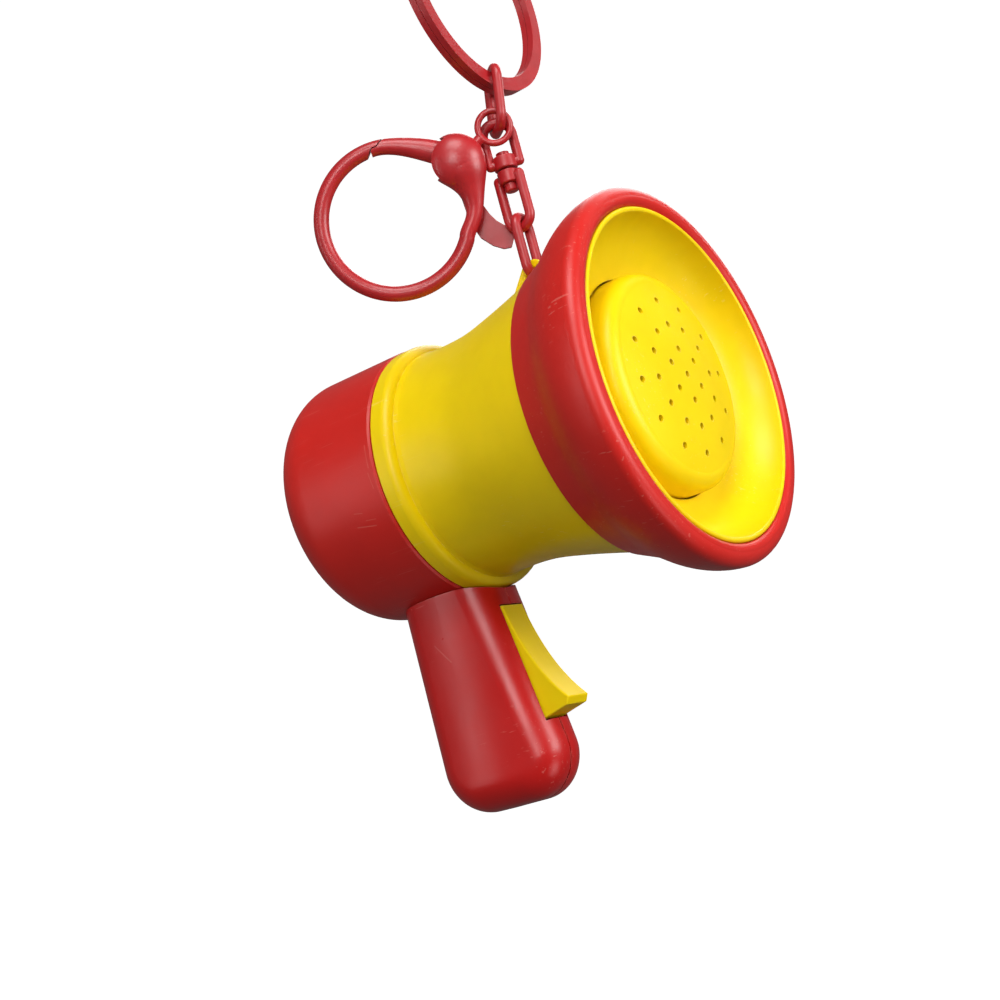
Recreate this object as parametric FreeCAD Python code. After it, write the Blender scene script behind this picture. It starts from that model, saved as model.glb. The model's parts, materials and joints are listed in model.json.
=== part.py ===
"""Miniature hand megaphone that hangs from a key ring by a swivel chain with a spring clasp.

Units are millimetres. Horn parts and chain parts are drawn in the horn's frame: X along the
horn towards the mouth, X = 0 at the mouth, +Z up, handle down. Every solid is then shifted so
that the origin is the highest point inside the key ring, where a hook would carry the object.
"""
import FreeCAD, Part
import math
import os

Vec = FreeCAD.Vector
X_AXIS = Vec(1, 0, 0)
Y_AXIS = Vec(0, 1, 0)
Z_AXIS = Vec(0, 0, 1)

# ---- clearances ----
SEAM = 0.08             # gap between nested shells of one housing
RUNNING = 0.06          # radial clearance of a pin in its hole
LOOP_GAP = 0.12         # gap between two linked wires

# ---- horn shells, radii about the X axis ----
WALL = 1.4
CUP_REAR_X = -60.0
CUP_FRONT_X = -40.15
CUP_R = 18.1
CUP_CORNER_R = 6.7
BAND_R = 18.0
BAND_STEP_X = -36.9
BAND_ROUND_R = 1.3
BODY_R = 16.5           # narrowest radius of the yellow horn
COLLAR_X = -13.7        # where the yellow horn meets the red bell
COLLAR_R = 20.15
NECK_R = 19.3           # part of the horn that the bell slides over
NECK_FRONT_X = -8.6
SPIGOT_R = 16.6         # part of the horn that slides into the rear cup
SPIGOT_REAR_X = -46.0
BELL_R = 26.0
BELL_REAR_R = 20.6
LIP_INNER_R = 23.05
LIP_X = 0.15

# ---- mouth: liner and grille ----
LINER_BORE_R = 15.25
LINER_FLOOR_X = -6.3
LINER_NECK_R = 16.6
LINER_NECK_REAR_X = -12.6
GRILLE_R = 15.0
GRILLE_APEX_X = -0.85
GRILLE_DOME_R = 62.0
GRILLE_EDGE_R = 2.0
GRILLE_WALL = 1.2
GRILLE_REAR_X = -7.6
SOUND_HOLE_R = 0.45
SOUND_RINGS = ((1, 0.0, 0.0), (6, 3.5, 35.0), (12, 7.0, 5.4), (12, 10.5, 5.4))

# ---- speaker ----
SPEAKER_R = 14.9
SPEAKER_FACE_X = -7.7
SPEAKER_FLANGE = 0.8
MAGNET_R = 9.0
MAGNET_LENGTH = 5.0
BASKET_DEPTH = 4.0

# ---- battery bay, which runs along Y ----
BAY_X = -25.4
BAY_Z = 0.0
CELL_R = 5.8
CELL_LENGTH = 5.4
CELL_COUNT = 3
BAY_INNER_R = 6.05
BAY_OUTER_R = 6.9
BAY_CLOSED_Y = -9.4
DOOR_R = 9.2
DOOR_SCREW_REACH = 7.9  # from the bay's axis to the door's screw

# ---- circuit board ----
BOARD_X = -50.0
BOARD_R = 14.6
BOARD_THICKNESS = 1.0
BOARD_POST_Z = 9.5
MIC_R = 2.0
MIC_Z = 6.0             # below the horn's axis
WIRE_WAY_X = -42.9      # where the switch wires pass from the handle into the cup
LEAD_R = 0.3            # insulated wire inside the housing
SWITCH_Z = -32.0
PLUNGER_R = 1.5
PLUNGER_TIP_X = -40.18

# ---- handle ----
HANDLE_REAR_X = -52.5
HANDLE_BOTTOM_Z = -47.6
HANDLE_TOP_Z = -9.0
HANDLE_FRONT_TOP_X = -38.6
HANDLE_TOE_X = -33.2
HANDLE_TOE_Z = -40.6
HANDLE_HEEL_R = 6.8
HANDLE_TOE_R = 6.4
HANDLE_HALF_WIDTH = 6.2
HANDLE_ROUND_R = 4.5
HANDLE_CROWN_R = 30.0       # gentle bulge of the two side faces
HANDLE_CROWN_X = -44.5
HANDLE_GROOVE_DEPTH = 0.2   # shadow line along the joint of the two halves
HANDLE_GROOVE_HALF = 0.13
HANDLE_SEAM = 0.06
HANDLE_SCREWS = ((-46.8, -21.8), (-46.4, -41.0))
SCREW_SHANK_R = 0.75
SCREW_HEAD_R = 1.5
SCREW_BOSS_R = 2.1
HANDLE_HEAD_Y = 4.2     # underside of the handle screws' heads

# ---- trigger ----
TRIGGER_HALF_WIDTH = 2.5
TRIGGER_PIVOT_X = -38.8
TRIGGER_PIVOT_Z = -22.9
TRIGGER_PIN_R = 0.75
TRIGGER_PIN_HALF = 3.7
TRIGGER_HUB_R = 1.75
TRIGGER_SLOT_TOP_Z = -20.6
TRIGGER_SLOT_BOTTOM_Z = -37.68
TRIGGER_SWEEP_R = 15.4      # from the pivot to the slot's end, clear of the lever's foot

# ---- hanging tab and chain ----
CHAIN_X = -19.0
TAB_HALF_THICKNESS = 0.7
TAB_HOLE_Z = 20.7
TAB_HOLE_R = 1.25
WIRE_R = 0.7
TAB_LINK_BOTTOM_Z = 21.0
TAB_LINK_TOP_Z = 29.6
TAB_LINK_HALF_WIDTH = 1.55
LOWER_HALF_WIDTH = 1.8
UPPER_HALF_WIDTH = 2.05
LOWER_LOOP_BOTTOM_Z = TAB_LINK_TOP_Z - 2 * WIRE_R - LOOP_GAP
LOWER_BAR_Z = 35.5
LOWER_HUB_R = 1.5
UPPER_BAR_Z = 37.6
UPPER_HUB_R = 1.65
HUB_HALF_HEIGHT = 0.92
RIVET_R = 0.6
RIVET_HEAD_R = 0.95
UPPER_LOOP_TURN = 33.8      # degrees about Z from the horn's lengthwise plane
TOP_LINK_TURN = -42.0       # degrees about Z of the top link's short direction
TOP_LINK_BOTTOM_Z = 42.2
TOP_LINK_HALF_WIDTH = 2.8
TOP_LINK_CORNER_R = 1.7
TOP_LINK_SPREAD = 1.1       # each of the two loops on the link's bottom sits this far off centre
RING_X = -17.2
RING_OUTER_R = 15.1
RING_BAND = 1.95
RING_THICKNESS = 1.9
RING_COIL_GAP = 0.08
RING_RAMP_DEG = 24.0
RING_SPLIT_DEG = 150.0
RING_Z = 62.85

# ---- spring clasp, drawn flat: x to the chain side, y up, z to the front ----
CLASP_EYE = Vec(-18.12, -2.14, 42.39)
CLASP_TURN = 33.8
CLASP_TILT = 10.1
CLASP_ROLL = 14.7
EYE_R = 2.25
EYE_WIRE_R = 0.46
EYE_SHIFT = 0.2         # the eye's centre along the flat drawing's x
CLASP_CENTRE = (-13.35, -12.8)
CLASP_RING_R = 10.2
CLASP_WIRE_R = 1.08
BULB = (-4.92, -4.85)
BULB_R = 4.0
BULB_HALF_DEPTH = 2.75
PIVOT = (-4.9, -5.0)
PIN_R = 0.55
GATE_HUB_R = 2.0
LEVER_BACK_Z = -3.35
LEVER_FRONT_Z = -2.25
TIP_GAP = 0.16
HOOK_POINT = Vec(RING_X, 0, RING_Z + RING_OUTER_R - RING_BAND)


# ---------------------------------------------------------------- helpers

def face_of(edges):
    """Planar face inside a closed run of edges."""
    return Part.Face(Part.Wire(edges))


def polyline(points):
    """Straight edges through points, open."""
    return [Part.LineSegment(a, b).toShape() for a, b in zip(points, points[1:])]


def arc(first, middle, last):
    return Part.Arc(first, middle, last).toShape()


def curve(points):
    """Smooth curve through points."""
    spline = Part.BSplineCurve()
    spline.interpolate(points)
    return spline.toShape()


def xr(x, r):
    """Point of a profile that is revolved about X."""
    return Vec(x, 0, r)


def turned(edges):
    """Solid of revolution about X."""
    return face_of(edges).revolve(Vec(0, 0, 0), X_AXIS, 360)


def tube_x(x_low, x_high, r_outer, r_inner=0.0):
    """Cylinder or tube along X, centred on the horn's axis."""
    body = Part.makeCylinder(r_outer, x_high - x_low, Vec(x_low, 0, 0), X_AXIS)
    if r_inner > 0:
        body = body.cut(Part.makeCylinder(r_inner, x_high - x_low, Vec(x_low, 0, 0), X_AXIS))
    return body


def rod(base, axis, length, radius):
    return Part.makeCylinder(radius, length, base, axis)


def box(low, high):
    size = high - low
    return Part.makeBox(size.x, size.y, size.z, low)


def pipe(path_edges, radius, start, direction):
    """Round wire of one radius along a smooth path."""
    section = Part.Wire([Part.makeCircle(radius, start, direction)])
    return Part.Wire(path_edges).makePipeShell([section], True, False)


def export(node, *solids):
    """Write one node, moved so that the hook point is the origin."""
    pieces = [piece for solid in solids for piece in solid.Solids]
    shape = pieces[0] if len(pieces) == 1 else Part.makeCompound(pieces)
    shape = shape.copy()
    shape.translate(Vec(0, 0, 0) - HOOK_POINT)
    shape.exportStep("parts/" + node + ".step")


# ---------------------------------------------------------------- horn shells

def rear_cup():
    corner = CUP_CORNER_R
    inner = corner - WALL
    bend = math.sqrt(0.5)
    rear, front = CUP_REAR_X, CUP_FRONT_X
    flat = CUP_R - corner
    edges = [
        Part.LineSegment(xr(rear, 0), xr(rear, flat)).toShape(),
        arc(xr(rear, flat), xr(rear + corner * (1 - bend), flat + corner * bend),
            xr(rear + corner, CUP_R)),
    ]
    edges += polyline([xr(rear + corner, CUP_R), xr(front - 0.25, CUP_R), xr(front, CUP_R - 0.25),
                       xr(front, CUP_R - WALL), xr(rear + corner, CUP_R - WALL)])
    edges.append(arc(xr(rear + corner, CUP_R - WALL),
                     xr(rear + WALL + inner * (1 - bend), flat + inner * bend),
                     xr(rear + WALL, flat)))
    edges += polyline([xr(rear + WALL, flat), xr(rear + WALL, 0), xr(rear, 0)])
    cup = turned(edges)
    post_length = BOARD_X - (rear + WALL) + 0.5
    for z in (-BOARD_POST_Z, BOARD_POST_Z):
        base = Vec(rear + WALL - 0.5, 0, z)
        cup = cup.fuse(rod(base, X_AXIS, post_length, 1.6))
        cup = cup.cut(rod(Vec(rear + WALL + 1.5, 0, z), X_AXIS, post_length, SCREW_SHANK_R - 0.05))
    cup = cup.fuse(rod(Vec(rear + WALL - 0.5, 0, -MIC_Z), X_AXIS, 2.6, MIC_R + 0.9))
    cup = cup.cut(rod(Vec(rear + WALL, 0, -MIC_Z), X_AXIS, 3.0, MIC_R + SEAM))
    cup = cup.cut(rod(Vec(rear - 1, 0, -MIC_Z), X_AXIS, 4.0, 0.6))
    return cup.cut(handle_lugs(SEAM)).cut(wire_hole())


def wire_hole():
    """Round way for the switch wires, between the lugs, through the cup and the spigot."""
    return rod(Vec(WIRE_WAY_X, 0, -20), Z_AXIS, 8, 1.0)


def horn_outline():
    """Outer edges of the yellow horn from the spigot forward to the neck."""
    step = BAND_STEP_X
    flare = [xr(step + 0.6, BODY_R), xr(-32.0, BODY_R - 0.05), xr(-28.4, 16.68), xr(-24.5, 17.4),
             xr(-20.0, 18.45), xr(-16.4, 19.4), xr(COLLAR_X, COLLAR_R)]
    bend = BAND_ROUND_R * math.sqrt(0.5)
    low = BAND_R - BAND_ROUND_R
    back = step - BAND_ROUND_R
    edges = polyline([xr(SPIGOT_REAR_X, SPIGOT_R), xr(CUP_FRONT_X + SEAM, SPIGOT_R),
                      xr(CUP_FRONT_X + SEAM, BAND_R - 0.3), xr(CUP_FRONT_X + SEAM + 0.3, BAND_R),
                      xr(back, BAND_R)])
    edges.append(arc(xr(back, BAND_R), xr(back + bend, low + bend), xr(step, low)))
    edges += polyline([xr(step, low), flare[0]])
    edges.append(curve(flare))
    edges += polyline([flare[-1], xr(COLLAR_X, NECK_R), xr(NECK_FRONT_X, NECK_R)])
    return edges


def horn_shell():
    """Yellow shell without the tab and the openings."""
    inside = [xr(-32.0, BODY_R - WALL), xr(-24.5, 17.4 - WALL), xr(-18.0, 17.6)]
    edges = horn_outline()
    edges += polyline([xr(NECK_FRONT_X, NECK_R), xr(NECK_FRONT_X, 17.9), xr(-16.5, 17.9), inside[2]])
    edges.append(curve(inside[::-1]))
    edges += polyline([inside[0], xr(SPIGOT_REAR_X, BODY_R - WALL), xr(SPIGOT_REAR_X, SPIGOT_R)])
    return turned(edges)


def tab():
    """Upright fin with the hole that the chain's last link passes through."""
    foot = 16.9
    outline = [Vec(-25.2, 0, foot), Vec(-23.4, 0, 18.9), Vec(-20.75, 0, 22.15)]
    top = Vec(-18.75, 0, 23.15)
    nose = Vec(-17.0, 0, 21.9)
    edges = polyline(outline) + [arc(outline[-1], top, nose)]
    edges += polyline([nose, Vec(-16.3, 0, 18.9), Vec(-16.3, 0, foot), outline[0]])
    fin = face_of(edges)
    fin.translate(Vec(0, -TAB_HALF_THICKNESS, 0))
    fin = fin.extrude(Vec(0, 2 * TAB_HALF_THICKNESS, 0))
    hole = rod(Vec(CHAIN_X, -3, TAB_HOLE_Z), Y_AXIS, 6, TAB_HOLE_R)
    fin = fin.cut(hole)
    rims = []
    for edge in fin.Edges:
        middle = edge.valueAt((edge.FirstParameter + edge.LastParameter) / 2)
        if abs(abs(middle.y) - TAB_HALF_THICKNESS) < 0.01 and middle.z > 18.0:
            rims.append(edge)
    return fin.makeFillet(0.32, rims)


def horn_body():
    shell = horn_shell().fuse(tab())
    shell = shell.cut(door_blank(SEAM))
    shell = shell.cut(rod(Vec(BAY_X, 0, BAY_Z), Y_AXIS, 30, BAY_OUTER_R + SEAM))
    return shell.cut(handle_lugs(SEAM)).cut(wire_hole())


def bell_rim():
    back = COLLAR_X + 0.02
    flare = [xr(back, BELL_REAR_R), xr(-11.6, 21.5), xr(-9.4, 22.6), xr(-7.6, 23.85),
             xr(-5.9, 24.85), xr(-3.8, 25.65), xr(-1.7, BELL_R)]
    edges = [curve(flare)]
    edges.append(arc(flare[-1], xr(-0.35, 25.55), xr(LIP_X, 24.35)))
    edges.append(arc(xr(LIP_X, 24.35), xr(LIP_X - 0.02, 23.6), xr(-0.35, LIP_INNER_R)))
    edges += polyline([xr(-0.35, LIP_INNER_R), xr(-2.0, LIP_INNER_R), xr(-4.6, 23.0), xr(-8.0, 21.4),
                       xr(-9.3, NECK_R + SEAM), xr(back, NECK_R + SEAM), flare[0]])
    return turned(edges)


def horn_liner():
    """Concave dish of the mouth with a neck behind it that holds the speaker."""
    rim = LIP_INNER_R - SEAM
    edges = [
        arc(xr(-0.55, rim), xr(-0.09, rim - 0.19), xr(-0.2, rim - 0.68)),
        arc(xr(-0.2, rim - 0.68), xr(-4.4, 20.1), xr(LINER_FLOOR_X, 16.0)),
    ]
    edges += polyline([xr(LINER_FLOOR_X, 16.0), xr(LINER_FLOOR_X - 0.1, LINER_BORE_R),
                       xr(LINER_NECK_REAR_X, LINER_BORE_R), xr(LINER_NECK_REAR_X, LINER_NECK_R),
                       xr(-10.8, LINER_NECK_R), xr(-10.8, 17.85), xr(-9.2, 17.85),
                       xr(-8.5, 17.2)])
    edges.append(arc(xr(-8.5, 17.2), xr(-6.2, 20.6), xr(-2.4, rim)))
    edges += polyline([xr(-2.4, rim), xr(-0.55, rim)])
    return turned(edges)


def speaker_grille():
    """Domed cap with rings of small sound holes."""
    def dome_x(r, apex):
        return apex - (GRILLE_DOME_R - math.sqrt(GRILLE_DOME_R ** 2 - r ** 2))

    edge_r = GRILLE_R - GRILLE_EDGE_R
    edge_x = dome_x(edge_r, GRILLE_APEX_X)
    bend = GRILLE_EDGE_R * math.sqrt(0.5)
    centre_x = edge_x - GRILLE_EDGE_R
    inner_apex = GRILLE_APEX_X - GRILLE_WALL
    inner_r = edge_r - 0.4
    side = GRILLE_R - GRILLE_WALL
    edges = [arc(xr(GRILLE_APEX_X, 0), xr(dome_x(7.0, GRILLE_APEX_X), 7.0), xr(edge_x, edge_r))]
    edges.append(arc(xr(edge_x, edge_r), xr(centre_x + bend, edge_r + bend),
                     xr(centre_x, GRILLE_R)))
    edges += polyline([xr(centre_x, GRILLE_R), xr(GRILLE_REAR_X, GRILLE_R),
                       xr(GRILLE_REAR_X, side), xr(centre_x, side),
                       xr(dome_x(inner_r, inner_apex), inner_r)])
    edges.append(arc(xr(dome_x(inner_r, inner_apex), inner_r), xr(dome_x(7.0, inner_apex), 7.0),
                     xr(inner_apex, 0)))
    edges += polyline([xr(inner_apex, 0), xr(GRILLE_APEX_X, 0)])
    holes = []
    for count, radius, first in SOUND_RINGS:
        for i in range(count):
            angle = math.radians(first + i * 360.0 / count)
            at = Vec(-6.0, radius * math.cos(angle), radius * math.sin(angle))
            holes.append(rod(at, X_AXIS, 8.0, SOUND_HOLE_R))
    return turned(edges).cut(Part.makeCompound(holes))


# ---------------------------------------------------------------- speaker

def speaker_frame():
    face, back = SPEAKER_FACE_X, SPEAKER_FACE_X - SPEAKER_FLANGE
    rear = back - BASKET_DEPTH
    edges = polyline([xr(face, SPEAKER_R), xr(back, SPEAKER_R), xr(back, 13.6), xr(rear, 10.4),
                      xr(rear, 3.2), xr(rear + 0.7, 3.2), xr(rear + 0.7, 10.0), xr(back + 0.2, 12.9),
                      xr(face, 12.9), xr(face, SPEAKER_R)])
    return turned(edges)


def speaker_cone():
    """Thin dished diaphragm with a raised centre dome and a short voice coil former."""
    x = SPEAKER_FACE_X - 0.25
    edges = [arc(xr(x - 0.1, 12.7), xr(x + 0.35, 11.3), xr(x - 0.4, 9.9))]
    edges.append(Part.LineSegment(xr(x - 0.4, 9.9), xr(x - 1.4, 4.6)).toShape())
    edges.append(arc(xr(x - 1.4, 4.6), xr(x - 0.6, 3.0), xr(x - 0.2, 1.0)))
    edges += polyline([xr(x - 0.2, 1.0), xr(x - 0.2, 0), xr(x - 0.5, 0), xr(x - 0.5, 1.0)])
    edges.append(arc(xr(x - 0.5, 1.0), xr(x - 0.9, 2.7), xr(x - 1.6, 4.0)))
    edges += polyline([xr(x - 1.6, 4.0), xr(x - 2.6, 4.0), xr(x - 2.6, 4.4), xr(x - 1.75, 4.7),
                       xr(x - 0.75, 10.0)])
    edges.append(arc(xr(x - 0.75, 10.0), xr(x + 0.02, 11.3), xr(x - 0.1, 12.7)))
    return turned(edges)


def speaker_magnet():
    front = SPEAKER_FACE_X - SPEAKER_FLANGE - BASKET_DEPTH - 0.05
    return tube_x(front - MAGNET_LENGTH, front, MAGNET_R)


def speaker_ring():
    """Retaining ring behind the speaker's flange, inside the liner's neck."""
    front = SPEAKER_FACE_X - SPEAKER_FLANGE - 0.05
    return tube_x(LINER_NECK_REAR_X + 0.4, front, LINER_BORE_R - 0.05, 13.9)


# ---------------------------------------------------------------- battery bay

def door_blank(gap):
    """Plug-shaped space of the battery door in the horn's far side."""
    return rod(Vec(BAY_X, 8, BAY_Z), Y_AXIS, 22, DOOR_R + gap)


def door_screw_at():
    return Vec(BAY_X, 0, BAY_Z - DOOR_SCREW_REACH)


def battery_door():
    door = horn_shell().common(door_blank(0))
    spot = door_screw_at()
    door = door.cut(rod(Vec(spot.x, 5, spot.z), Y_AXIS, 20, SCREW_SHANK_R + RUNNING))
    door = door.cut(rod(Vec(spot.x, 14.55, spot.z), Y_AXIS, 8, SCREW_HEAD_R + 0.15))
    slot = box(Vec(BAY_X - 3.2, 16.6, -0.6), Vec(BAY_X + 3.2, 20, 0.6))
    return door.cut(slot)


def battery_holder():
    """Closed-ended tube for the button cells with a boss for the door's screw."""
    top_y = BAY_CLOSED_Y + 1.0 + CELL_COUNT * CELL_LENGTH + 4.0
    base = Vec(BAY_X, BAY_CLOSED_Y, BAY_Z)
    tube = rod(base, Y_AXIS, top_y - BAY_CLOSED_Y, BAY_OUTER_R)
    spot = door_screw_at()
    boss = rod(Vec(spot.x, 4.0, spot.z), Y_AXIS, 9.0, 1.6)
    tube = tube.fuse(boss)
    tube = tube.cut(rod(base + Vec(0, 1.0, 0), Y_AXIS, 40, BAY_INNER_R))
    return tube.cut(rod(Vec(spot.x, 5.5, spot.z), Y_AXIS, 20, SCREW_SHANK_R + 0.02))


def button_cells():
    """Three stacked cells, each with a stepped negative face."""
    cells = []
    for i in range(CELL_COUNT):
        base = Vec(BAY_X, BAY_CLOSED_Y + 2.6 + i * (CELL_LENGTH + 0.05), BAY_Z)
        can = rod(base + Vec(0, 0.35, 0), Y_AXIS, CELL_LENGTH - 0.35, CELL_R)
        cells.append(can.fuse(rod(base, Y_AXIS, 0.4, CELL_R - 1.2)))
    return cells


def coil(base, axis, radius, wire, pitch, turns):
    """Helical spring; base is the helix's start height on its axis."""
    helix = Part.makeHelix(pitch, pitch * turns, radius)
    section = Part.Wire([Part.makeCircle(wire, Vec(radius, 0, 0), Y_AXIS)])
    spring = Part.Wire(helix.Edges).makePipeShell([section], True, True)
    spring.Placement = FreeCAD.Placement(base, FreeCAD.Rotation(Z_AXIS, axis))
    return spring


def contact_spring():
    return coil(Vec(BAY_X, BAY_CLOSED_Y + 1.25, BAY_Z), Y_AXIS, 2.6, 0.2, 0.55, 2.0)


def contact_plate():
    """Flat positive contact behind the battery door."""
    top = BAY_CLOSED_Y + 2.65 + CELL_COUNT * (CELL_LENGTH + 0.05)
    return rod(Vec(BAY_X, top, BAY_Z), Y_AXIS, 0.35, BAY_INNER_R - 0.25)


def door_screw():
    spot = door_screw_at()
    screw = rod(Vec(spot.x, 6.2, spot.z), Y_AXIS, 9.4, SCREW_SHANK_R)
    return screw.fuse(pan_head(Vec(spot.x, 14.6, spot.z), SCREW_HEAD_R, 0.8))


def pan_head(base, radius, height):
    """Round screw head along +Y with a cross recess."""
    head = rod(base, Y_AXIS, height, radius)
    head = head.makeFillet(0.25, [edge for edge in head.Edges if edge.CenterOfMass.y > base.y + 0.7])
    top = base.y + height
    arm, half = radius * 0.62, radius * 0.15
    head = head.cut(box(Vec(base.x - arm, top - 0.35, base.z - half),
                        Vec(base.x + arm, top + 1, base.z + half)))
    return head.cut(box(Vec(base.x - half, top - 0.35, base.z - arm),
                        Vec(base.x + half, top + 1, base.z + arm)))


# ---------------------------------------------------------------- electronics

def circuit_board():
    board = tube_x(BOARD_X + 0.05, BOARD_X + 0.05 + BOARD_THICKNESS, BOARD_R)
    for z in (-BOARD_POST_Z, BOARD_POST_Z):
        board = board.cut(rod(Vec(BOARD_X - 1, 0, z), X_AXIS, 4, SCREW_SHANK_R + 0.1))
    return board


def board_screws():
    screws = []
    face = BOARD_X + 0.05 + BOARD_THICKNESS + 0.02
    for z in (-BOARD_POST_Z, BOARD_POST_Z):
        shank = rod(Vec(face - 5.0, 0, z), X_AXIS, 5.0, SCREW_SHANK_R - 0.1)
        screws.append(shank.fuse(rod(Vec(face, 0, z), X_AXIS, 0.8, SCREW_HEAD_R)))
    return screws


def sound_chip():
    """Low epoxy dome over the sound chip."""
    face = BOARD_X + 0.05 + BOARD_THICKNESS + 0.02
    dome = Part.makeSphere(5.0, Vec(face - 3.6, 3.0, 1.5))
    return dome.common(tube_x(face, face + 3, BOARD_R))


def microphone():
    rear = CUP_REAR_X + WALL + 0.1
    can = rod(Vec(rear, 0, -MIC_Z), X_AXIS, 2.2, MIC_R)
    return can.cut(rod(Vec(rear, 0, -MIC_Z), X_AXIS, 0.3, 0.5))


def switch_board():
    return box(Vec(-45.6, -3.4, -37.4), Vec(-44.6, 3.4, -26.0))


def trigger_switch():
    """Square push switch, bored for its plunger."""
    body = box(Vec(-44.55, -3.0, SWITCH_Z - 3.0), Vec(-41.8, 3.0, SWITCH_Z + 3.0))
    return body.cut(rod(Vec(-44.35, 0, SWITCH_Z), X_AXIS, 4.0, PLUNGER_R + RUNNING))


def switch_plunger():
    rear = -43.3
    return rod(Vec(rear, 0, SWITCH_Z), X_AXIS, PLUNGER_TIP_X - rear, PLUNGER_R)


def wires(first_path, second_path):
    """Two insulated wires along smooth paths."""
    strands = []
    for path in (first_path, second_path):
        points = [Vec(*point) for point in path]
        strands.append(pipe([curve(points)], LEAD_R, points[0], points[1] - points[0]))
    return strands


def speaker_wires():
    """From the speaker's basket, over the battery bay, to the circuit board."""
    board = BOARD_X + BOARD_THICKNESS + 0.25
    basket = SPEAKER_FACE_X - SPEAKER_FLANGE - BASKET_DEPTH - 0.05
    return wires(*[[(basket, side * 1.2, 9.72), (-16, side * 1.1, 9.9), (-25, side * 0.9, 10.6),
                    (-36, side * 1.2, 9.6), (-44, side * 1.8, 7.6), (board, side * 2.0, 7.2)]
                   for side in (-1, 1)])


def battery_wires():
    """From the two ends of the battery holder to the circuit board."""
    board = BOARD_X + BOARD_THICKNESS + 0.25
    holder = BAY_X - BAY_OUTER_R - 0.05
    return wires([(holder, -6.0, BAY_Z), (-38, -6.6, -0.6), (board, -7.0, -2.0)],
                 [(holder, 7.5, BAY_Z), (-38, 8.2, -1.0), (board, 8.0, -3.0)])


def switch_wires():
    """From the switch's board up through the handle's roof to the circuit board."""
    board = BOARD_X + BOARD_THICKNESS + 0.25
    return wires(*[[(-44.58, y, -27.6), (-43.5, y, -27.45), (WIRE_WAY_X, y, -26.2),
                    (WIRE_WAY_X, y, -23.0), (WIRE_WAY_X, y, -18.0), (WIRE_WAY_X, y, -14.0),
                    (-44.2, y, -10.5), (-46.6, y, -8.2), (board, y, -7.7)] for y in (-0.45, 0.45)])


def microphone_leads():
    can_front = CUP_REAR_X + WALL + 0.1 + 2.2 + 0.03
    return [rod(Vec(can_front, y, -MIC_Z), X_AXIS, BOARD_X + 0.02 - can_front, 0.2) for y in (-0.6, 0.6)]


# ---------------------------------------------------------------- handle

def handle_solid(inset, half_width, round_r):
    """Handle's outer shape, or its hollow when inset is the wall."""
    rear, bottom = HANDLE_REAR_X + inset, HANDLE_BOTTOM_Z + inset
    heel, toe = HANDLE_HEEL_R - inset, HANDLE_TOE_R - inset
    top = Vec(HANDLE_FRONT_TOP_X - inset, 0, HANDLE_TOP_Z)
    rear_top = Vec(rear, 0, HANDLE_TOP_Z)
    bend = math.sqrt(0.5)
    heel_start = Vec(rear, 0, bottom + heel)
    heel_mid = Vec(rear + heel * (1 - bend), 0, bottom + heel * (1 - bend))
    heel_end = Vec(rear + heel, 0, bottom)
    toe_centre = Vec(HANDLE_TOE_X - inset - toe, 0, bottom + toe)
    lean = math.atan2(HANDLE_TOE_X - HANDLE_FRONT_TOP_X, HANDLE_TOP_Z - HANDLE_TOE_Z)
    toe_end = toe_centre + Vec(toe * math.cos(lean), 0, toe * math.sin(lean))
    half = (lean - math.pi / 2) / 2
    toe_mid = toe_centre + Vec(toe * math.cos(half), 0, toe * math.sin(half))
    toe_start = toe_centre + Vec(0, 0, -toe)
    edges = polyline([rear_top, heel_start])
    edges.append(arc(heel_start, heel_mid, heel_end))
    edges += polyline([heel_end, toe_start])
    edges.append(arc(toe_start, toe_mid, toe_end))
    edges += polyline([toe_end, top, rear_top])
    face = face_of(edges)
    face.translate(Vec(0, -half_width, 0))
    solid = face.extrude(Vec(0, 2 * half_width, 0))
    crown_r = HANDLE_CROWN_R - inset
    for side in (-1, 1):
        axis_at = Vec(HANDLE_CROWN_X, side * (half_width - crown_r), HANDLE_BOTTOM_Z - 5)
        solid = solid.common(rod(axis_at, Z_AXIS, 60, crown_r))
    rims = []
    for edge in solid.Edges:
        middle = edge.valueAt((edge.FirstParameter + edge.LastParameter) / 2)
        if abs(middle.y) > 1.0 and abs(middle.z - HANDLE_TOP_Z) > 0.01:
            rims.append(edge)
    return solid.makeFillet(round_r, rims)


def handle_lugs(gap):
    """Two blocks that pass up through the cup's wall and hold the handle to the horn."""
    blocks = []
    for side in (-1, 1):
        low = min(side * (1.2 - gap), side * (4.2 + gap))
        high = max(side * (1.2 - gap), side * (4.2 + gap))
        blocks.append(box(Vec(-50.5 - gap, low, -18.6), Vec(-42.5 + gap, high, -15.0 + gap)))
    return Part.makeCompound(blocks)


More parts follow.
